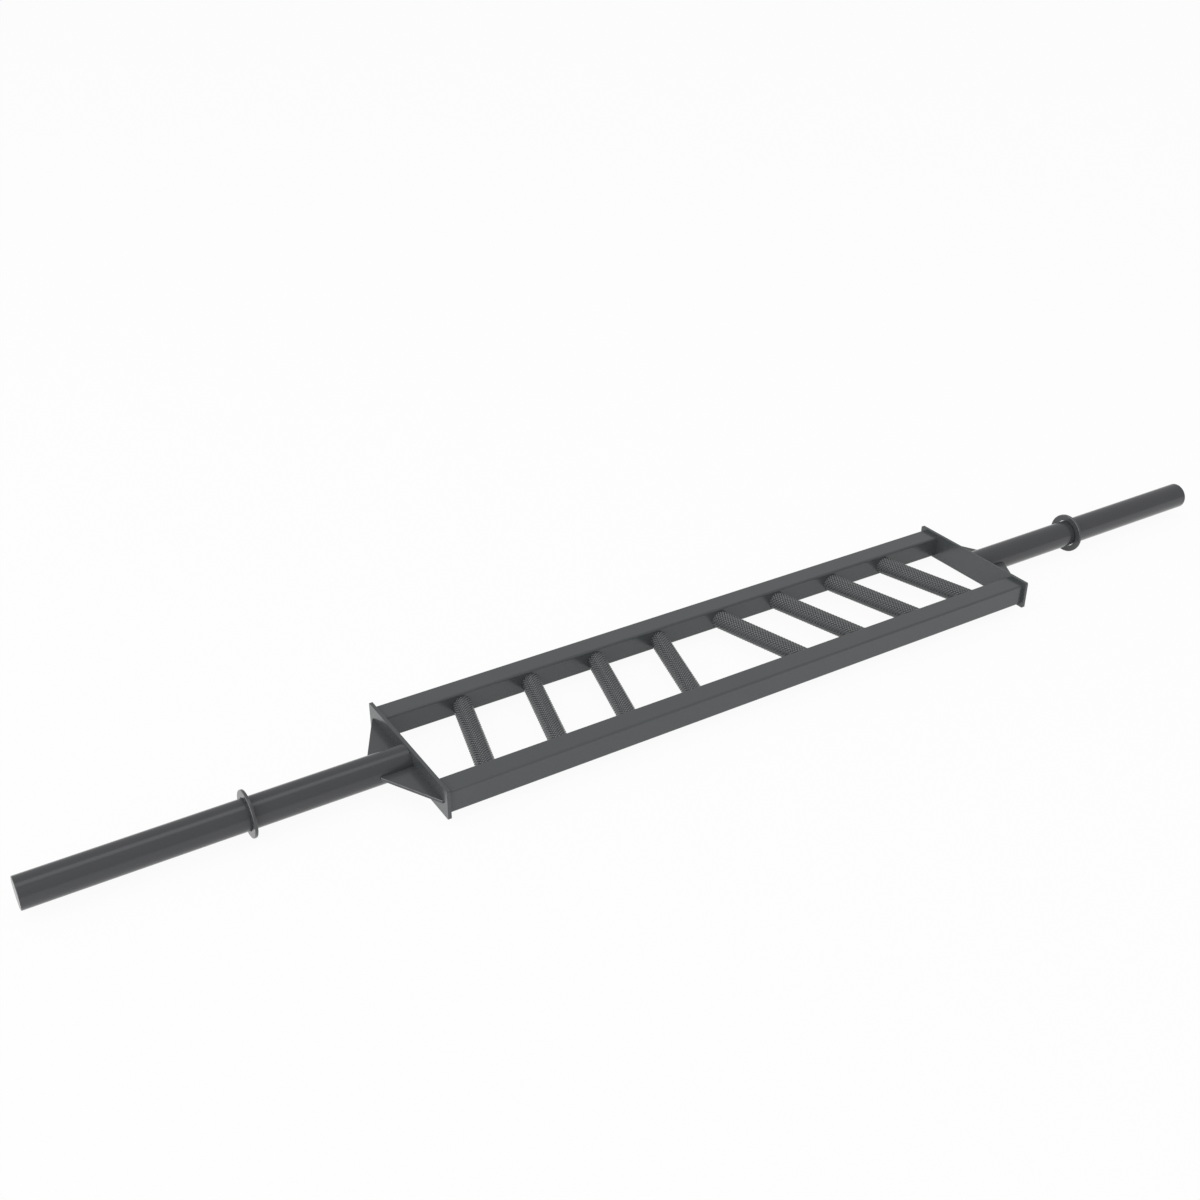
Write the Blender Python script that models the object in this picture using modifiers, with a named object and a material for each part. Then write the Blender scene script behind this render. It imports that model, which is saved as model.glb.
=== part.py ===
"""Swiss bar: a barbell with eight angled grips, welded from steel tube and plate.

The bar lies along X with its sleeves on the X axis and +Z up. The rails run in front of the axis
(-Y) and behind it (+Y). The origin is the middle of the bar, on the axis of the sleeves.
"""

import math

import bpy
from mathutils import Vector

MM = 0.001

# Every two pieces that are welded together keep this gap in the model
JOINT_GAP = 0.3 * MM

# Rails: two lengths of square tube along X
FRAME_LENGTH = 1182 * MM  # between the inner faces of the end plates
HAND_OPENING = 186 * MM  # between the inner faces of the rails
RAIL_WIDTH = 40 * MM
RAIL_HEIGHT = 40 * MM
RAIL_WALL = 3 * MM
RAIL_CORNER_RADIUS = 4 * MM
RAIL_INNER_CORNER_RADIUS = 1 * MM

# End plates: flat bars across the ends of both rails
PLATE_THICKNESS = 6 * MM
PLATE_MARGIN = 6 * MM  # past the rails at the top, bottom, front and back
PLATE_CORNER_RADIUS = 3 * MM

# Grips: knurled tubes from rail to rail, mirrored about the middle of the bar
GRIPS_PER_HALF = 4
GRIP_DIAMETER = 33 * MM
GRIP_WALL = 4 * MM
GRIP_TILT = math.radians(15)  # away from straight across the rails, the near ends apart
FIRST_GRIP_OFFSET = 91.4 * MM  # middle of the bar to the middle of the first grip
GRIP_PITCH = 129.3 * MM
GRIP_DROP = 3 * MM  # grip axes below the middle of the rails

# Sleeves: one round tube on each end plate, which carries the weight plates
SLEEVE_DIAMETER = 50 * MM
SLEEVE_WALL = 4 * MM
SLEEVE_LENGTH = 584 * MM  # from the outer face of the end plate
SLEEVE_END_CHAMFER = 1 * MM
CAP_THICKNESS = 5 * MM
CAP_EDGE_CHAMFER = 0.5 * MM

# Collars: flat rings that stop the weight plates
COLLAR_DIAMETER = 75 * MM
COLLAR_THICKNESS = 5 * MM
COLLAR_OFFSET = 253.5 * MM  # outer face of the end plate to the inner face of the ring
COLLAR_EDGE_CHAMFER = 0.5 * MM
COLLAR_BORE_CLEARANCE = 1 * MM
TACK_COUNT = 4
TACK_WIDTH = 6 * MM
TACK_BITE = 2 * MM  # how far a tack weld reaches into the ring
TACK_INSET = 1 * MM  # from each face of the ring to the ends of a tack weld
FIRST_TACK_ANGLE = math.radians(0)  # around the sleeve, from straight below it

# Gussets: flat triangles in front of and behind each sleeve, against the end plate
GUSSET_THICKNESS = 5 * MM
GUSSET_REACH = 56 * MM  # along the sleeve
GUSSET_EDGE_INSET = 9 * MM  # from the end of the plate to the point of the gusset
GUSSET_TIP = 2 * MM  # width of its blunt points

# Facets of round shapes
SLEEVE_SEGMENTS = 48
GRIP_SEGMENTS = 32
CORNER_SEGMENTS = 4
LARGEST_CORNER_SHARE = 0.4  # of the shorter side of an outline, for the radius of its corners
SHARP_EDGE = math.radians(60)
MERGE_DISTANCE = 0.01 * MM

# Colours are linear RGB
COAT_COLOUR = (0.085, 0.087, 0.091, 1.0)
COAT_ROUGHNESS = 0.35
CAP_COLOUR = (0.095, 0.097, 0.100, 1.0)
CAP_ROUGHNESS = 0.3
KNURL_COLOUR = (0.080, 0.082, 0.086, 1.0)
KNURL_ROUGHNESS = 0.45

# The two ends of the bar along X, and its two sides across Y
ENDS = {"left": -1, "right": 1}
SIDES = {"front": -1, "rear": 1}


def new_collection(name):
    collection = bpy.data.collections.new(name)
    bpy.context.scene.collection.children.link(collection)
    return collection


def paint(name, colour, roughness):
    """A coat of paint, which hides the metal under it."""
    material = bpy.data.materials.new(name)
    material.use_nodes = True
    shader = material.node_tree.nodes["Principled BSDF"]
    shader.inputs["Base Color"].default_value = colour
    shader.inputs["Roughness"].default_value = roughness
    shader.inputs["Metallic"].default_value = 0.0
    material.diffuse_color = colour
    return material


def powder_coat(name):
    return paint(name + "_powder_coat", COAT_COLOUR, COAT_ROUGHNESS)


def finish(obj, collection, material):
    """Give an object its own material and its collection."""
    for old in list(obj.users_collection):
        old.objects.unlink(obj)
    collection.objects.link(obj)
    obj.data.materials.clear()
    obj.data.materials.append(material)
    return obj


def arc(centre, radius, start, sweep, steps):
    """Points on an arc, both ends included."""
    points = []
    for step in range(steps + 1):
        angle = start + sweep * step / steps
        points.append(Vector((centre[0] + radius * math.cos(angle), centre[1] + radius * math.sin(angle))))
    return points


def rounded_rectangle(width, height, radius):
    """A counter-clockwise outline about the origin."""
    radius = min(radius, LARGEST_CORNER_SHARE * min(width, height))
    corner_x = width / 2 - radius
    corner_y = height / 2 - radius
    points = []
    for turn, (sign_x, sign_y) in enumerate(((1, 1), (-1, 1), (-1, -1), (1, -1))):
        centre = (sign_x * corner_x, sign_y * corner_y)
        points += arc(centre, radius, turn * math.pi / 2, math.pi / 2, CORNER_SEGMENTS)
    return points


def flat_solid(name, outlines, thickness):
    """A piece of plate, or a tube drawn as its section: flat outlines given a thickness along local Z."""
    curve = bpy.data.curves.new(name, "CURVE")
    curve.dimensions = "2D"
    curve.fill_mode = "BOTH"
    curve.extrude = thickness / 2
    for outline in outlines:
        spline = curve.splines.new("POLY")
        spline.points.add(len(outline) - 1)
        for point, place in zip(spline.points, outline):
            point.co = (place[0], place[1], 0, 1)
        spline.use_cyclic_u = True
    return bpy.data.objects.new(name, curve)


def turned_ring(name, outline, segments):
    """A ring or tube about local Z, from its section: radius and height, down the outer side first."""
    mesh = bpy.data.meshes.new(name)
    edges = []
    for index in range(len(outline)):
        edges.append((index, (index + 1) % len(outline)))
    mesh.from_pydata([(radius, 0, height) for radius, height in outline], edges, [])
    obj = bpy.data.objects.new(name, mesh)
    screw = obj.modifiers.new("turn", "SCREW")
    screw.axis = "Z"
    screw.angle = 2 * math.pi
    screw.screw_offset = 0
    screw.steps = segments
    screw.render_steps = segments
    screw.use_merge_vertices = True
    screw.merge_threshold = MERGE_DISTANCE
    screw.use_smooth_shade = True
    return obj


def stand_across(obj):
    """Turn an outline drawn in its own X and Y to lie in the world's Y and Z, its thickness along X."""
    obj.rotation_euler = (math.pi / 2, 0, math.pi / 2)


def point_along(obj, side):
    """Turn a piece made about its own Z so that it points out along the bar."""
    obj.rotation_euler = (0, side * math.pi / 2, 0)


def plate_outer_face():
    return FRAME_LENGTH / 2 + PLATE_THICKNESS


def plate_half_width():
    return HAND_OPENING / 2 + RAIL_WIDTH + PLATE_MARGIN


def make_rail(name, across, parts):
    outer = rounded_rectangle(RAIL_WIDTH, RAIL_HEIGHT, RAIL_CORNER_RADIUS)
    inner = rounded_rectangle(RAIL_WIDTH - 2 * RAIL_WALL, RAIL_HEIGHT - 2 * RAIL_WALL,
                              RAIL_INNER_CORNER_RADIUS)
    inner.reverse()
    rail = flat_solid(name, [outer, inner], FRAME_LENGTH - 2 * JOINT_GAP)
    stand_across(rail)
    rail.location = (0, across * (HAND_OPENING + RAIL_WIDTH) / 2, 0)
    return finish(rail, parts, powder_coat(name))


def make_end_plate(name, side, parts):
    width = 2 * plate_half_width()
    height = RAIL_HEIGHT + 2 * PLATE_MARGIN
    plate = flat_solid(name, [rounded_rectangle(width, height, PLATE_CORNER_RADIUS)], PLATE_THICKNESS)
    stand_across(plate)
    plate.location = (side * (FRAME_LENGTH + PLATE_THICKNESS) / 2, 0, 0)
    return finish(plate, parts, powder_coat(name))


def make_grip(name, along, tilt, trim, parts):
    """A straight tube, mitred at both ends by the space between the rails."""
    radius = GRIP_DIAMETER / 2
    bore = radius - GRIP_WALL
    half_length = HAND_OPENING / 2 / math.cos(tilt) + radius * abs(math.tan(tilt)) + radius
    section = [(radius, half_length), (radius, -half_length), (bore, -half_length), (bore, half_length)]
    grip = turned_ring(name, section, GRIP_SEGMENTS)
    grip.rotation_euler = (math.pi / 2, 0, tilt)
    grip.location = (along, 0, -GRIP_DROP)
    mitre = grip.modifiers.new("mitre", "BOOLEAN")
    mitre.operation = "INTERSECT"
    mitre.object = trim
    return finish(grip, parts, paint(name + "_coated_knurl", KNURL_COLOUR, KNURL_ROUGHNESS))


def make_grips(parts, cutters):
    bpy.ops.mesh.primitive_cube_add(size=1)
    trim = bpy.context.object
    trim.name = "space_between_rails"
    trim.scale = (FRAME_LENGTH, HAND_OPENING - 2 * JOINT_GAP, 2 * (GRIP_DIAMETER + abs(GRIP_DROP)))
    trim.display_type = "WIRE"
    trim.hide_render = True
    for old in list(trim.users_collection):
        old.objects.unlink(trim)
    cutters.objects.link(trim)
    for side_name, side in ENDS.items():
        for index in range(GRIPS_PER_HALF):
            along = side * (FIRST_GRIP_OFFSET + index * GRIP_PITCH)
            make_grip(f"grip_{side_name}_{index + 1}", along, side * GRIP_TILT, trim, parts)


def make_sleeve(name, side, parts):
    radius = SLEEVE_DIAMETER / 2
    bore = radius - SLEEVE_WALL
    chamfer = min(SLEEVE_END_CHAMFER, SLEEVE_WALL / 2)
    section = [(radius - chamfer, SLEEVE_LENGTH), (radius, SLEEVE_LENGTH - chamfer),
               (radius, JOINT_GAP), (bore, JOINT_GAP), (bore, SLEEVE_LENGTH)]
    sleeve = turned_ring(name, section, SLEEVE_SEGMENTS)
    point_along(sleeve, side)
    sleeve.location = (side * plate_outer_face(), 0, 0)
    return finish(sleeve, parts, powder_coat(name))


def make_sleeve_cap(name, side, parts):
    """A disc that closes the open end of the sleeve, flush with it."""
    radius = SLEEVE_DIAMETER / 2 - SLEEVE_WALL - JOINT_GAP
    middle = side * (plate_outer_face() + SLEEVE_LENGTH - CAP_THICKNESS / 2)
    bpy.ops.mesh.primitive_cylinder_add(vertices=SLEEVE_SEGMENTS, radius=radius, depth=CAP_THICKNESS)
    cap = bpy.context.object
    cap.name = name
    point_along(cap, side)
    cap.location = (middle, 0, 0)
    edge = cap.modifiers.new("edge", "BEVEL")
    edge.width = CAP_EDGE_CHAMFER
    edge.segments = 1
    edge.limit_method = "ANGLE"
    edge.angle_limit = SHARP_EDGE
    return finish(cap, parts, paint(name + "_coated_disc", CAP_COLOUR, CAP_ROUGHNESS))


def make_collar(name, side, parts, cutters):
    """A ring with a loose bore, held on the sleeve by tack welds inside the bore."""
    radius = COLLAR_DIAMETER / 2
    bore = SLEEVE_DIAMETER / 2 + COLLAR_BORE_CLEARANCE
    half = COLLAR_THICKNESS / 2
    chamfer = min(COLLAR_EDGE_CHAMFER, half / 2)
    section = [(radius - chamfer, half), (radius, half - chamfer), (radius, chamfer - half),
               (radius - chamfer, -half), (bore, -half), (bore, half)]
    collar = turned_ring(name, section, SLEEVE_SEGMENTS)
    point_along(collar, side)
    middle = side * (plate_outer_face() + COLLAR_OFFSET + half)
    collar.location = (middle, 0, 0)
    inner = SLEEVE_DIAMETER / 2 + JOINT_GAP
    outer = bore + TACK_BITE
    tacks = bpy.data.collections.new(name + "_tacks")
    cutters.children.link(tacks)
    for index in range(TACK_COUNT):
        angle = FIRST_TACK_ANGLE + 2 * math.pi * index / TACK_COUNT
        reach = (inner + outer) / 2
        bpy.ops.mesh.primitive_cube_add(size=1)
        tack = bpy.context.object
        tack.name = f"{name}_tack_{index + 1}"
        tack.scale = (COLLAR_THICKNESS - 2 * TACK_INSET, TACK_WIDTH, outer - inner)
        tack.rotation_euler = (angle, 0, 0)
        tack.location = (middle, reach * math.sin(angle), -reach * math.cos(angle))
        tack.display_type = "WIRE"
        tack.hide_render = True
        for old in list(tack.users_collection):
            old.objects.unlink(tack)
        tacks.objects.link(tack)
    weld = collar.modifiers.new("tack_welds", "BOOLEAN")
    weld.operation = "UNION"
    weld.operand_type = "COLLECTION"
    weld.collection = tacks
    return finish(collar, parts, powder_coat(name))


def make_gusset(name, side, across, parts):
    """A triangle with blunt points, flat at the height of the sleeve's axis."""
    start = plate_outer_face() + JOINT_GAP
    sleeve_side = SLEEVE_DIAMETER / 2 + JOINT_GAP
    point = plate_half_width() - GUSSET_EDGE_INSET
    span = point - sleeve_side
    blunt_point = point - span * GUSSET_TIP / GUSSET_REACH
    blunt_reach = GUSSET_REACH * (1 - GUSSET_TIP / span)
    outline = [(start, sleeve_side), (start + blunt_reach, sleeve_side),
               (start + blunt_reach, sleeve_side + GUSSET_TIP),
               (start + GUSSET_TIP, blunt_point), (start, blunt_point)]
    outline = [(side * along, across * out) for along, out in outline]
    if side * across < 0:
        outline.reverse()
    gusset = flat_solid(name, [outline], GUSSET_THICKNESS)
    return finish(gusset, parts, powder_coat(name))


def main():
    for old in list(bpy.data.objects):
        bpy.data.objects.remove(old, do_unlink=True)
    parts = new_collection("swiss_bar")
    cutters = new_collection("cutters")
    for across_name, across in SIDES.items():
        make_rail(f"rail_{across_name}", across, parts)
    make_grips(parts, cutters)
    for side_name, side in ENDS.items():
        make_end_plate(f"end_plate_{side_name}", side, parts)
        make_sleeve(f"sleeve_{side_name}", side, parts)
        make_sleeve_cap(f"sleeve_cap_{side_name}", side, parts)
        make_collar(f"collar_{side_name}", side, parts, cutters)
        for across_name, across in SIDES.items():
            make_gusset(f"gusset_{side_name}_{across_name}", side, across, parts)


main()
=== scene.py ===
"""Swiss bar: the finished look of a barbell with eight angled grips, around its packed steel frame.

Lengths are in metres, in the frame's own axes: the bar lies along X with its left end at -X, the front
rail is at -Y and +Z is up.
"""

import math

import bmesh
import bpy
import numpy as np
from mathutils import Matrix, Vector


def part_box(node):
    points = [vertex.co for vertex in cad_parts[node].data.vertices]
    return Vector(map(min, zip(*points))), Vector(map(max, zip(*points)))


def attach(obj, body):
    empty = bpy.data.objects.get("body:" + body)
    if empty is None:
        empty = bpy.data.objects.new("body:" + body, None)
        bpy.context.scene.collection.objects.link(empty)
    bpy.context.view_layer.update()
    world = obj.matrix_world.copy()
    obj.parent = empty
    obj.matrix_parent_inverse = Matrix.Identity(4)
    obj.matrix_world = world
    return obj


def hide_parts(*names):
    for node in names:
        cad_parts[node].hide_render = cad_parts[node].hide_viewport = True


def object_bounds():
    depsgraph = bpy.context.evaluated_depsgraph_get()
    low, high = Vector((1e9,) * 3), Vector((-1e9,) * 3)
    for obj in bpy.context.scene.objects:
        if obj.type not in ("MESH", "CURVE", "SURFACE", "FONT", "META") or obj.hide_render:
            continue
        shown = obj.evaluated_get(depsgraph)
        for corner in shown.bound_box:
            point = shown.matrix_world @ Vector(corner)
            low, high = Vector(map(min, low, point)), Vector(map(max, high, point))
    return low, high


MM = 0.001

# Where the camera stands: its heading turns from +X towards +Y, and its drop is below level
CAMERA_PLACE = (-1.3058, -1.7017, 1.3217)
CAMERA_HEADING = math.radians(58.09)
CAMERA_DROP = math.radians(29.73)
CAMERA_FIELD = math.radians(45)

# Ends and sides of the bar, as the frame's nodes name them
ENDS = {"left": -1, "right": 1}
SIDES = {"front": -1, "rear": 1}
GRIPS_PER_HALF = 4

# Tube, plate and ring sizes that a box round the node can't give
RAIL_WALL = 3 * MM
RAIL_CORNER_RADIUS = 4 * MM
RAIL_INNER_CORNER_RADIUS = 1 * MM
PLATE_CORNER_RADIUS = 3 * MM
SLEEVE_WALL = 4 * MM
GRIP_DIAMETER = 33 * MM
GRIP_WALL = 4 * MM
GRIP_TILT = math.radians(15)
COLLAR_CLEARANCE = 1 * MM
TACKS = 4
TACK_HALF_WIDTH = 3.4 * MM
GUSSET_TIP = 2 * MM

# Each cut edge is broken and then coated, which leaves it a little round
CUT_EDGE_RADIUS = 0.6 * MM
SLEEVE_EDGE_RADIUS = 1.2 * MM
CAP_EDGE_RADIUS = 0.6 * MM
COLLAR_EDGE_RADIUS = 1.3 * MM
BORE_EDGE_RADIUS = 0.25 * MM
EDGE_STEPS = 3
SLEEVE_EDGE_STEPS = 5

# Points closer than this are one point, and points this close to a cut lie on it
SAME_PLACE = 0.02 * MM
SAME_PLANE = 0.001 * MM

# Welded pieces reach this far into each other, so that no light shows between them
WELD_SINK = 0.4 * MM

# Knurl: two sets of grooves at 45 degrees leave rows of blunt points. A rolled knurl has about 1.6 mm
# from groove to groove. It is drawn at 4.3 mm, nearly three times as coarse, because the camera stands
# about two metres away and finer points would melt into a plain grey there. The pitch is a diamond's
# diagonal, and the flat is the blunt top's share of it.
KNURL_PITCH = 6.2 * MM
KNURL_DEPTH = 0.8 * MM
KNURL_FLAT = 0.2

# Painted light on the knurl's upper side: glints on its points and shade in its grooves. It starts and is
# full at these shares of the radius above the middle of a grip.
GLINT_START = 0.1
GLINT_FULL = 0.55

# Steps round the turned and bent shapes
TURN_STEPS = 144
COLLAR_STEPS = 288
BORE_STEPS = 72
CORNER_STEPS = 8

# Faces that meet at less than this are one smooth surface. Round a collar's tack welds they bend more.
SMOOTH_BELOW = math.radians(40)
SMOOTH_BELOW_ON_COLLAR = math.radians(50)

# How far large faces outweigh small ones in the shading, which keeps flat faces flat
FLAT_FACE_WEIGHT = 100

FLOOR_WIDTH = 120.0

# Share of the floor's own white in what the camera sees of it: the rest is matt paint, with the shadow
FLOOR_WHITE = 0.94

# Baked polyester bends light as most clear plastics do
POWDER_IOR = 1.5

# Grain of the coat, and how far its roughness strays from the mean
ORANGE_PEEL = 2.5 * MM
ORANGE_PEEL_HEIGHT = 0.06 * MM
ORANGE_PEEL_STRENGTH = 0.12
FINE_GRAIN = 0.5 * MM
PATCH = 60 * MM
GLOSS_SPREAD = 0.03

# Noise stays mostly between these
NOISE_LOW = 0.3
NOISE_HIGH = 0.7

# The painted highlight on marked edges comes in patches. It is full where the noise reaches a level, and
# elsewhere keeps a least share.
HIGHLIGHT_PATCH = 12 * MM
HIGHLIGHT_FULL_AT = 0.6
LEAST_HIGHLIGHT = 0.45

# On a collar the painted edge highlight starts and is full at these shares of its radius above its middle
HIGHLIGHT_START = 0.2
HIGHLIGHT_FULL = 0.6


def linear(colour):
    """A colour written as sRGB hex, as the linear numbers that shaders take."""
    numbers = []
    for place in (1, 3, 5):
        value = int(colour[place:place + 2], 16) / 255
        numbers.append(value / 12.92 if value <= 0.04045 else ((value + 0.055) / 1.055) ** 2.4)
    return (*numbers, 1.0)


def add_node(tree, kind, settings=None, links=None):
    """Adds a node, sets its attributes or sockets by name, and links sockets to other nodes' outputs."""
    node = tree.nodes.new(kind)
    for name, value in (settings or {}).items():
        if isinstance(name, int):
            node.inputs[name].default_value = value
        elif name in node.inputs:
            node.inputs[name].default_value = value
        else:
            setattr(node, name, value)
    for name, (source, output) in (links or {}).items():
        tree.links.new(source.outputs[output], node.inputs[name])
    return node


def empty_material(name):
    material = bpy.data.materials.new(name)
    material.use_nodes = True
    material.node_tree.nodes.clear()
    return material, material.node_tree


def grainy_gloss(tree, place, roughness):
    """Roughness that strays a little from its mean in fine grains."""
    grain = add_node(tree, "ShaderNodeTexNoise", {"Scale": 1 / FINE_GRAIN, "Detail": 1.0},
                     {"Vector": (place, "Object")})
    return add_node(tree, "ShaderNodeMapRange",
                    {"From Min": NOISE_LOW, "From Max": NOISE_HIGH, "To Min": roughness - GLOSS_SPREAD,
                     "To Max": roughness + GLOSS_SPREAD},
                    {"Value": (grain, 0)})


def share_between(value, start, full):
    """From 0 at the start to 1 where it is full."""
    return min(max((value - start) / (full - start), 0.0), 1.0)


def baked_powder_coat(name, colour, thin_colour, roughness, highlight_colour=None):
    """Polyester powder, sprayed on steel and baked: an even satin film that melted level.

    The eye gets one dark anthracite tone, soft reflections that sharpen at low angles, a faint orange
    peel in them, and a slightly different tone in broad patches where the film is thinner. With a
    highlight colour, a painted highlight also lies in patches along the edges that the mesh marks.
    """
    material, tree = empty_material(name)
    place = add_node(tree, "ShaderNodeTexCoord")
    patches = add_node(tree, "ShaderNodeTexNoise", {"Scale": 1 / PATCH, "Detail": 3.0, "Roughness": 0.55},
                       {"Vector": (place, "Object")})
    tone = add_node(tree, "ShaderNodeMix", {"data_type": "RGBA", 6: linear(colour), 7: linear(thin_colour)},
                    {0: (patches, 0)})
    # Painted highlight along the edges that the mesh marks, broken into noise patches
    if highlight_colour:
        edge = add_node(tree, "ShaderNodeAttribute", {"attribute_name": "edge_highlight"})
        highlight_noise = add_node(tree, "ShaderNodeTexNoise", {"Scale": 1 / HIGHLIGHT_PATCH, "Detail": 2.0},
                       {"Vector": (place, "Object")})
        highlight_share = add_node(tree, "ShaderNodeMapRange",
                          {"From Min": NOISE_LOW, "From Max": HIGHLIGHT_FULL_AT, "To Min": LEAST_HIGHLIGHT,
                           "To Max": 1.0},
                          {"Value": (highlight_noise, 0)})
        highlight = add_node(tree, "ShaderNodeMath", {"operation": "MULTIPLY"},
                        {0: (edge, "Fac"), 1: (highlight_share, 0)})
        tone = add_node(tree, "ShaderNodeMix", {"data_type": "RGBA", 7: linear(highlight_colour)},
                        {0: (highlight, 0), 6: (tone, 2)})
    peel = add_node(tree, "ShaderNodeTexNoise", {"Scale": 1 / ORANGE_PEEL, "Detail": 1.0, "Roughness": 0.4},
                    {"Vector": (place, "Object")})
    waves = add_node(tree, "ShaderNodeBump",
                     {"Strength": ORANGE_PEEL_STRENGTH, "Distance": ORANGE_PEEL_HEIGHT},
                     {"Height": (peel, 0)})
    gloss = grainy_gloss(tree, place, roughness)
    shader = add_node(tree, "ShaderNodeBsdfPrincipled", {"IOR": POWDER_IOR, "Metallic": 0.0},
                      {"Base Color": (tone, 2), "Roughness": (gloss, 0), "Normal": (waves, 0)})
    add_node(tree, "ShaderNodeOutputMaterial", None, {"Surface": (shader, 0)})
    return material


def knurl_powder_coat(name, colour, groove_shade_colour, point_glint_colour, roughness):
    """The same powder on a rolled knurl, with painted light on its upper side.

    There the points get a painted glint and the grooves painted shade, and the lower side keeps one plain
    dark tone. The mesh holds each place's height above the grooves, and its share of the painted light,
    both from 0 to 1.
    """
    material, tree = empty_material(name)
    place = add_node(tree, "ShaderNodeTexCoord")
    height = add_node(tree, "ShaderNodeAttribute", {"attribute_name": "groove_height"})
    highlight_share = add_node(tree, "ShaderNodeAttribute", {"attribute_name": "highlight_share"})
    # Grooves get painted shade and points a painted glint
    relief_light_and_shade = add_node(tree, "ShaderNodeMix",
                      {"data_type": "RGBA", 6: linear(groove_shade_colour), 7: linear(point_glint_colour)},
                      {0: (height, "Fac")})
    tone = add_node(tree, "ShaderNodeMix", {"data_type": "RGBA", 6: linear(colour)},
                    {0: (highlight_share, "Fac"), 7: (relief_light_and_shade, 2)})
    gloss = grainy_gloss(tree, place, roughness)
    shader = add_node(tree, "ShaderNodeBsdfPrincipled", {"IOR": POWDER_IOR, "Metallic": 0.0},
                      {"Base Color": (tone, 2), "Roughness": (gloss, 0)})
    add_node(tree, "ShaderNodeOutputMaterial", None, {"Surface": (shader, 0)})
    return material


def white_studio_floor():
    """Seamless white floor: matt paint that the camera sees almost white, with a pale shadow on it.

    Reflections in the coat show it plain white.
    """
    material, tree = empty_material("seamless_white_floor")
    ray = add_node(tree, "ShaderNodeLightPath")
    looked_at = add_node(tree, "ShaderNodeMath", {"operation": "MULTIPLY", 1: FLOOR_WHITE},
                         {0: (ray, "Is Camera Ray")})
    mirrored = add_node(tree, "ShaderNodeMath", {"operation": "MAXIMUM"},
                        {0: (ray, "Is Glossy Ray"), 1: (ray, "Is Transmission Ray")})
    share = add_node(tree, "ShaderNodeMath", {"operation": "MAXIMUM"}, {0: (looked_at, 0), 1: (mirrored, 0)})
    paint = add_node(tree, "ShaderNodeBsdfDiffuse", {"Color": linear("#F4F4F4")})
    white = add_node(tree, "ShaderNodeEmission", {"Color": linear("#FFFFFF"), "Strength": 1.0})
    mix = add_node(tree, "ShaderNodeMixShader", None, {0: (share, 0), 1: (paint, 0), 2: (white, 0)})
    add_node(tree, "ShaderNodeOutputMaterial", None, {"Surface": (mix, 0)})
    return material


def arc(centre, radius, start, sweep, steps):
    """Points on an arc, both ends included."""
    points = []
    for step in range(steps + 1):
        angle = start + sweep * step / steps
        points.append(Vector((centre[0] + radius * math.cos(angle), centre[1] + radius * math.sin(angle))))
    return points


def rounded_rectangle(width, height, radius, steps):
    """A counter-clockwise outline about the origin."""
    points = []
    for turn, (sign_x, sign_y) in enumerate(((1, 1), (-1, 1), (-1, -1), (1, -1))):
        centre = (sign_x * (width / 2 - radius), sign_y * (height / 2 - radius))
        points += arc(centre, radius, turn * math.pi / 2, math.pi / 2, steps)
    return points


def new_piece(name, mesh):
    piece = bpy.data.objects.new(name, mesh)
    bpy.context.scene.collection.objects.link(piece)
    return piece


def smooth_shading(piece, smooth_below):
    """Curved faces are shaded smooth, and flat ones stay flat up to their rounded edges."""
    piece.data.shade_smooth()
    piece.data.set_sharp_from_angle(angle=smooth_below)
    weights = piece.modifiers.new("flat_faces_stay_flat", "WEIGHTED_NORMAL")
    weights.keep_sharp = True
    weights.weight = FLAT_FACE_WEIGHT


def add_coated(node, mesh, coat, smooth_below=SMOOTH_BELOW):
    """A coated piece that stands for a node of the frame, in the given coat."""
    piece = new_piece(node + "_coated", mesh)
    smooth_shading(piece, smooth_below)
    piece.data.materials.append(coat)
    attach(piece, "root")
    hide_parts(node)


def centre_and_size(node):
    low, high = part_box(node)
    return (low + high) / 2, high - low


def mesh_from(name, work):
    mesh = bpy.data.meshes.new(name)
    work.to_mesh(mesh)
    work.free()
    return mesh


def ring_of(work, points):
    return [work.verts.new(point) for point in points]


def join_rings(work, first, second):
    """Faces between two closed rings with as many points each."""
    count = len(first)
    for index in range(count):
        after = (index + 1) % count
        work.faces.new((first[index], first[after], second[after], second[index]))


def square_tube(name, centre, size):
    """A length of square steel tube along X, open at both ends, which the end plates cover."""
    outer = rounded_rectangle(size.y, size.z, RAIL_CORNER_RADIUS, CORNER_STEPS)
    inner = rounded_rectangle(size.y - 2 * RAIL_WALL, size.z - 2 * RAIL_WALL, RAIL_INNER_CORNER_RADIUS,
                              CORNER_STEPS)
    reach = size.x / 2 + WELD_SINK
    work = bmesh.new()
    rings = []
    for outline, along in ((outer, -reach), (outer, reach), (inner, reach), (inner, -reach)):
        rings.append(ring_of(work, [centre + Vector((along, across, up)) for across, up in outline]))
    for index in range(len(rings)):
        join_rings(work, rings[index - 1], rings[index])
    bmesh.ops.recalc_face_normals(work, faces=work.faces)
    return mesh_from(name, work)


def turned(name, section, centre, side, steps, highlit=()):
    """A closed ring or tube about the bar's axis, from its section: distance out along the bar and radius.

    highlit numbers the section's points that get a painted highlight on the upper half.
    """
    work = bmesh.new()
    highlight = work.verts.layers.float.new("edge_highlight")
    rings = []
    for step in range(steps):
        angle = 2 * math.pi * step / steps
        points = []
        for out, radius in section:
            points.append(Vector((centre + side * out, radius * math.sin(angle), -radius * math.cos(angle))))
        ring = ring_of(work, points)
        rings.append(ring)
        for index in highlit:
            height = points[index].z / section[index][1]
            ring[index][highlight] = share_between(height, HIGHLIGHT_START, HIGHLIGHT_FULL)
    for index in range(steps):
        join_rings(work, rings[index - 1], rings[index])
    bmesh.ops.recalc_face_normals(work, faces=work.faces)
    return mesh_from(name, work)


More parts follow.
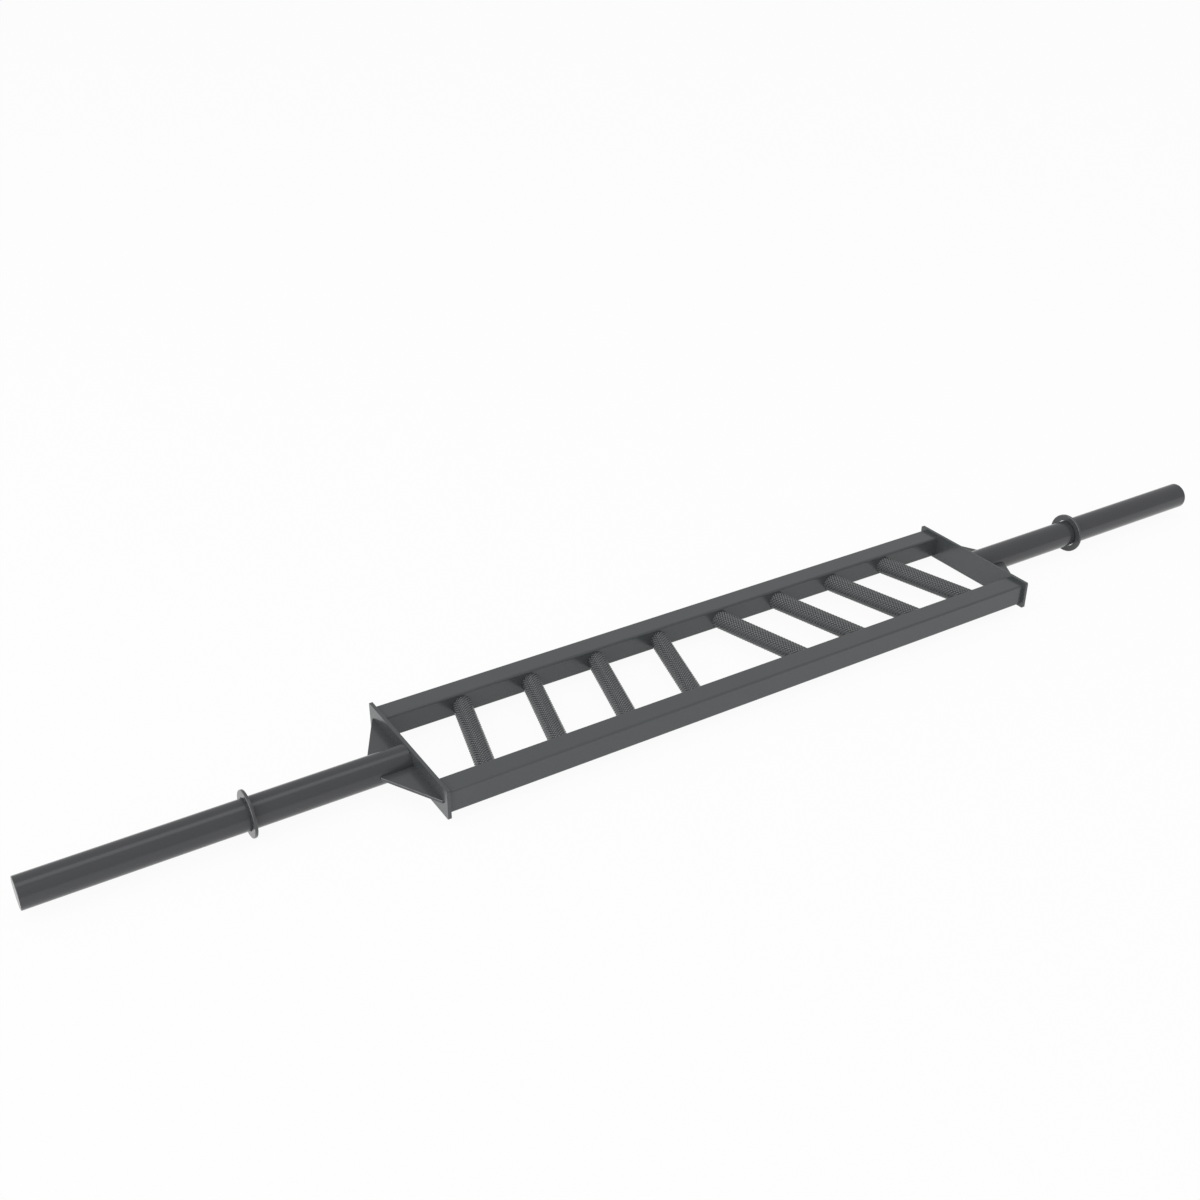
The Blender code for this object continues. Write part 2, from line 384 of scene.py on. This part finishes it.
def flat_plate(name, outline, centre, across, up, thickness, highlit=False):
    """A piece cut from plate, with its outline drawn from the centre along two directions."""
    work = bmesh.new()
    highlight = work.verts.layers.float.new("edge_highlight")
    half = across.cross(up) * thickness / 2
    top = ring_of(work, [centre + across * point.x + up * point.y + half for point in outline])
    bottom = ring_of(work, [centre + across * point.x + up * point.y - half for point in outline])
    join_rings(work, top, bottom)
    rim = [edge for edge in work.edges if (edge.verts[0] in top) == (edge.verts[1] in top)]
    work.faces.new(top)
    work.faces.new(bottom)
    bmesh.ops.recalc_face_normals(work, faces=work.faces)
    rounded = bmesh.ops.bevel(work, geom=rim, offset=CUT_EDGE_RADIUS, segments=EDGE_STEPS, profile=0.5,
                              affect="EDGES", clamp_overlap=True)["faces"]
    # With highlit, the rounded cut edges carry a painted highlight
    for vert in work.verts:
        vert[highlight] = float(highlit and all(face in rounded for face in vert.link_faces))
    return mesh_from(name, work)


def make_rails(coat):
    for side in SIDES:
        node = f"rail_{side}"
        centre, size = centre_and_size(node)
        add_coated(node, square_tube(node + "_coated", centre, size), coat)


def make_end_plates(coat):
    for end in ENDS:
        node = f"end_plate_{end}"
        centre, size = centre_and_size(node)
        outline = rounded_rectangle(size.y, size.z, PLATE_CORNER_RADIUS, CORNER_STEPS)
        mesh = flat_plate(node + "_coated", outline, centre, Vector((0, 1, 0)), Vector((0, 0, 1)), size.x)
        add_coated(node, mesh, coat)


def make_gussets(coat):
    """Flat triangles with blunt tips, their outlines drawn outwards from the middle of the bar."""
    for end, along in ENDS.items():
        plate_low, plate_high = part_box(f"end_plate_{end}")
        plate_face = plate_high.x if along > 0 else -plate_low.x
        for side, across in SIDES.items():
            node = f"gusset_{end}_{side}"
            low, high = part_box(node)
            root = plate_face - WELD_SINK
            tip = high.x if along > 0 else -low.x
            near = (low.y if across > 0 else -high.y) - WELD_SINK
            far = high.y if across > 0 else -low.y
            outline = [Vector((root, near)), Vector((tip, near)),
                       Vector((tip, near + WELD_SINK + GUSSET_TIP)),
                       Vector((plate_face + GUSSET_TIP, far)), Vector((root, far))]
            middle = Vector((0, 0, (low.z + high.z) / 2))
            # The gussets' cut edges carry a painted highlight
            mesh = flat_plate(node + "_coated", outline, middle, Vector((along, 0, 0)),
                              Vector((0, across, 0)), high.z - low.z, highlit=True)
            add_coated(node, mesh, coat)


def make_sleeves(coat, cap_coat):
    for end, side in ENDS.items():
        node = f"sleeve_{end}"
        centre, size = centre_and_size(node)
        radius = size.z / 2
        bore = radius - SLEEVE_WALL
        half = size.x / 2
        edge = SLEEVE_EDGE_RADIUS
        section = [(-half - WELD_SINK, radius)]
        section += arc((half - edge, radius - edge), edge, math.pi / 2, -math.pi / 2, SLEEVE_EDGE_STEPS)
        section += [(half, bore), (-half - WELD_SINK, bore)]
        mesh = turned(node + "_coated", section, centre.x, side, TURN_STEPS)
        add_coated(node, mesh, coat)

        node = f"sleeve_cap_{end}"
        centre, size = centre_and_size(node)
        radius = size.z / 2 + WELD_SINK / 2
        half = size.x / 2
        edge = CAP_EDGE_RADIUS
        middle = radius / 2
        section = [(-half, middle), (-half, radius)]
        section += arc((half - edge, radius - edge), edge, math.pi / 2, -math.pi / 2, EDGE_STEPS)
        section += [(half, middle)]
        add_coated(node, turned_disc(node + "_coated", section, centre.x, side), cap_coat)


def turned_disc(name, section, centre, side):
    """A disc about the bar's axis: its section runs from the back over the rim to the face."""
    work = bmesh.new()
    rings = []
    for out, radius in section:
        points = []
        for step in range(TURN_STEPS):
            angle = 2 * math.pi * step / TURN_STEPS
            points.append(Vector((centre + side * out, radius * math.sin(angle), -radius * math.cos(angle))))
        rings.append(ring_of(work, points))
    for first, second in zip(rings, rings[1:]):
        join_rings(work, first, second)
    for ring in (rings[0], rings[-1]):
        hub = work.verts.new(sum((vert.co for vert in ring), Vector()) / len(ring))
        for index in range(TURN_STEPS):
            work.faces.new((ring[index - 1], ring[index], hub))
    bmesh.ops.recalc_face_normals(work, faces=work.faces)
    return mesh_from(name, work)


def add_tack_welds(mesh, middle, half, bore):
    """Small welds bridge the gap to the sleeve: the ring's bore is drawn in at each of them."""
    turn = 2 * math.pi / TACKS
    for vert in mesh.vertices:
        radius = math.hypot(vert.co.y, vert.co.z)
        if radius > bore + BORE_EDGE_RADIUS:
            continue
        angle = math.atan2(vert.co.y, vert.co.z)
        off = abs((angle + turn / 2) % turn - turn / 2) * bore / TACK_HALF_WIDTH
        if off < 1:
            # A weld is thickest at its middle and thins out quickly at its sides and at the ring's faces
            fullness = math.cos(off * math.pi / 2) ** 0.5 * (1 - ((vert.co.x - middle) / half) ** 6)
            scale = 1 - (COLLAR_CLEARANCE + WELD_SINK) * fullness / radius
            vert.co.y *= scale
            vert.co.z *= scale


def make_collars(coat):
    """Rings on the sleeves, with a painted highlight along their upper left edges."""
    for end, side in ENDS.items():
        node = f"collar_{end}"
        centre, size = centre_and_size(node)
        sleeve_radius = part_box(f"sleeve_{end}")[1].z
        radius = size.z / 2
        bore = sleeve_radius + COLLAR_CLEARANCE
        half = size.x / 2
        edge = COLLAR_EDGE_RADIUS
        section = arc((half - edge, radius - edge), edge, 0, math.pi / 2, EDGE_STEPS)
        section += arc((edge - half, radius - edge), edge, math.pi / 2, math.pi / 2, EDGE_STEPS)
        section += arc((BORE_EDGE_RADIUS - half, bore + BORE_EDGE_RADIUS), BORE_EDGE_RADIUS, math.pi,
                       math.pi / 2, EDGE_STEPS)
        # Rows of points across the bore, which the tack welds draw in
        section += [Vector((share * half, bore)) for share in (-0.5, 0.0, 0.5)]
        section += arc((half - BORE_EDGE_RADIUS, bore + BORE_EDGE_RADIUS), BORE_EDGE_RADIUS, -math.pi / 2,
                       math.pi / 2, EDGE_STEPS)

        # The section's point on the edge that faces the bar's left end, which gets the painted highlight
        left_edge = (1,) if side < 0 else (2 * EDGE_STEPS,)
        mesh = turned(node + "_coated", section, centre.x, side, COLLAR_STEPS, left_edge)
        add_tack_welds(mesh, centre.x, half, bore)
        add_coated(node, mesh, coat, SMOOTH_BELOW_ON_COLLAR)


def diamond_skin(radius, half_length):
    """The knurled outside of a tube along Z, at least as long as asked for on both sides of its middle.

    The grooves run both ways round the tube. Each diamond between them is a pyramid with a blunt top,
    its four corners at the crossings of the grooves.
    """
    around = round(2 * math.pi * radius / KNURL_PITCH)
    step_along = 2 * math.pi * radius / around
    rows = 2 * math.ceil(half_length / step_along + 1)

    def on_tube(turn, along, height):
        angle = turn / around * 2 * math.pi
        at = radius - KNURL_DEPTH * (1 - height)
        return np.stack((at * np.cos(angle), at * np.sin(angle), along * step_along), axis=-1)

    # Diamonds sit in rows half a pitch apart, each row shifted by half a pitch
    row, column = np.meshgrid(np.arange(-rows, rows + 1), np.arange(around), indexing="ij")
    turn = (column + (row % 2) / 2).ravel()
    along = (row / 2).ravel()
    ways = ((0.5, 0.0), (0.0, 0.5), (-0.5, 0.0), (0.0, -0.5))
    count = len(turn)
    corners = [on_tube(turn + x, along + y, np.zeros(count)) for x, y in ways]
    tops = [on_tube(turn + x * KNURL_FLAT, along + y * KNURL_FLAT, np.ones(count)) for x, y in ways]
    points = np.concatenate(corners + tops)
    index = np.arange(count)
    faces = [np.stack([index + count * (4 + way) for way in range(4)], axis=-1)]
    for way in range(4):
        after = (way + 1) % 4
        faces.append(np.stack((index + count * way, index + count * after, index + count * (4 + after),
                               index + count * (4 + way)), axis=-1))
    mesh = bpy.data.meshes.new("knurl_skin")
    mesh.from_pydata(points.tolist(), [], np.concatenate(faces).tolist())
    return mesh


def knurled_tube(name, tilt, half_span):
    """A tube with a diamond knurl between two mitred ends, about the middle of a grip."""
    radius = GRIP_DIAMETER / 2
    skin = diamond_skin(radius, half_span / math.cos(tilt) + radius * abs(math.tan(tilt)))
    work = bmesh.new()
    work.from_mesh(skin)
    bpy.data.meshes.remove(skin)
    bmesh.ops.remove_doubles(work, verts=work.verts, dist=SAME_PLACE)
    groove_height = work.verts.layers.float.new("groove_height")
    highlight_share = work.verts.layers.float.new("highlight_share")
    for vert in work.verts:
        vert[groove_height] = 1 - (radius - math.hypot(vert.co.x, vert.co.y)) / KNURL_DEPTH
        # Painted glints and groove shade only on the upper side of the grip
        vert[highlight_share] = share_between(vert.co.y / radius, GLINT_START, GLINT_FULL)

    # Lay the tube along Y with its tilt, then cut it off at both rails
    lean = Vector((-math.sin(tilt), math.cos(tilt), 0))
    aside = Vector((math.cos(tilt), math.sin(tilt), 0))
    up = Vector((0, 0, 1))
    for vert in work.verts:
        vert.co = aside * vert.co.x + up * vert.co.y + lean * vert.co.z
    for way in (-1, 1):
        everything = work.verts[:] + work.edges[:] + work.faces[:]
        bmesh.ops.bisect_plane(work, geom=everything, dist=SAME_PLANE, plane_co=(0, way * half_span, 0),
                               plane_no=(0, way, 0), clear_outer=True)

    # The bore closes the tube: each loose rim is joined to a plain ring of the bore
    bore = radius - GRIP_WALL
    rims = [[edge for edge in work.edges if edge.is_boundary and edge.verts[0].co.y * way > 0]
            for way in (-1, 1)]
    bores = []
    for way, rim in zip((-1, 1), rims):
        ring = []
        for step in range(BORE_STEPS):
            angle = 2 * math.pi * step / BORE_STEPS
            across = bore * math.cos(angle)
            height = bore * math.sin(angle)
            along = (way * half_span - across * math.sin(tilt)) / math.cos(tilt)
            ring.append(work.verts.new(aside * across + up * height + lean * along))
        edges = [work.edges.new((ring[step - 1], ring[step])) for step in range(len(ring))]
        bmesh.ops.bridge_loops(work, edges=rim + edges)
        bores.append(ring)
    join_rings(work, bores[0], bores[1])
    bmesh.ops.recalc_face_normals(work, faces=work.faces)
    return mesh_from(name, work)


def make_grips(coat):
    """Four grips a side share one mesh, and the two sides lean opposite ways."""
    front_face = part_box("rail_front")[1].y
    half_span = -front_face + WELD_SINK
    for end, side in ENDS.items():
        mesh = knurled_tube(f"knurl_{end}", side * GRIP_TILT, half_span)
        mesh.materials.append(coat)
        for number in range(1, GRIPS_PER_HALF + 1):
            node = f"grip_{end}_{number}"
            piece = new_piece(node + "_knurled", mesh)
            piece.location = centre_and_size(node)[0]
            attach(piece, "root")
            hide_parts(node)


def make_floor(level):
    """The bar lies on the rims of its collars, and they stand on the floor."""
    half = FLOOR_WIDTH / 2
    work = bmesh.new()
    work.faces.new(ring_of(work, [(-half, -half, level), (half, -half, level), (half, half, level),
                                  (-half, half, level)]))
    floor = new_piece("studio_floor", mesh_from("studio_floor", work))
    floor.data.materials.append(white_studio_floor())


def set_world(colour, strength):
    world = bpy.data.worlds.new("soft_white_room")
    world.use_nodes = True
    world.node_tree.nodes.clear()
    sky = add_node(world.node_tree, "ShaderNodeBackground", {"Color": linear(colour), "Strength": strength})
    add_node(world.node_tree, "ShaderNodeOutputWorld", None, {"Surface": (sky, 0)})
    bpy.context.scene.world = world


def soft_box(name, place, width, height, watts):
    """A large rectangular lamp that shines towards the middle of the bar."""
    lamp = bpy.data.lights.new(name, "AREA")
    lamp.shape = "RECTANGLE"
    lamp.size = width
    lamp.size_y = height
    lamp.energy = watts
    box = bpy.data.objects.new(name, lamp)
    box.visible_camera = False
    box.location = place
    box.rotation_euler = (-Vector(place)).to_track_quat("-Z", "Y").to_euler()
    bpy.context.scene.collection.objects.link(box)


def set_camera():
    lens = bpy.data.cameras.new("photo_camera")
    lens.sensor_fit = "HORIZONTAL"
    lens.angle = CAMERA_FIELD
    camera = bpy.data.objects.new("photo_camera", lens)
    camera.location = CAMERA_PLACE
    camera.rotation_euler = (math.pi / 2 - CAMERA_DROP, 0, CAMERA_HEADING - math.pi / 2)
    bpy.context.scene.collection.objects.link(camera)
    bpy.context.scene.camera = camera


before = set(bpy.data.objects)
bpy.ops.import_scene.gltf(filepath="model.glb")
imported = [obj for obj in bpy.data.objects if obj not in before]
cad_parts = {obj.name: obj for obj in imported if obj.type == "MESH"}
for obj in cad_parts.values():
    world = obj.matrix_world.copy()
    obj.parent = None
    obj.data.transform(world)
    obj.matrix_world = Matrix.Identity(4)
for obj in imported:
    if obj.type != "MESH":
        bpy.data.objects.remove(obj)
cad_low, cad_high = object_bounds()

set_camera()
bpy.context.scene.view_settings.view_transform = "Standard"

frame_coat = baked_powder_coat("frame_satin_powder_coat", "#4A4D4F", "#4E5153", roughness=0.22)
sleeve_coat = baked_powder_coat("sleeve_satin_powder_coat", "#414245", "#444548", roughness=0.2)
# The lighter colour is a painted highlight along the marked edges
fitting_coat = baked_powder_coat("fitting_satin_powder_coat", "#494A4C", "#4D4E50", roughness=0.2,
                                 highlight_colour="#98999B")
cap_coat = baked_powder_coat("cap_satin_powder_coat", "#4A4D4F", "#4E5153", roughness=0.22)
# The groove colour is painted shade, and the point colour is a painted glint
knurl_coat = knurl_powder_coat("knurl_powder_coat", "#454749", groove_shade_colour="#08090A",
                               point_glint_colour="#7E8082", roughness=0.15)

make_rails(frame_coat)
make_end_plates(frame_coat)
make_gussets(fitting_coat)
make_sleeves(sleeve_coat, cap_coat)
make_collars(fitting_coat)
make_grips(knurl_coat)

make_floor(cad_low.z)
set_world("#FFFFFF", strength=0.58)
soft_box("left_soft_wall", (-4.86, -1.3, 3.4), width=12.0, height=8.2, watts=253.0)
soft_box("overhead_soft_box", (0.0, -0.3, 6.0), width=3.4, height=2.6, watts=27.5)
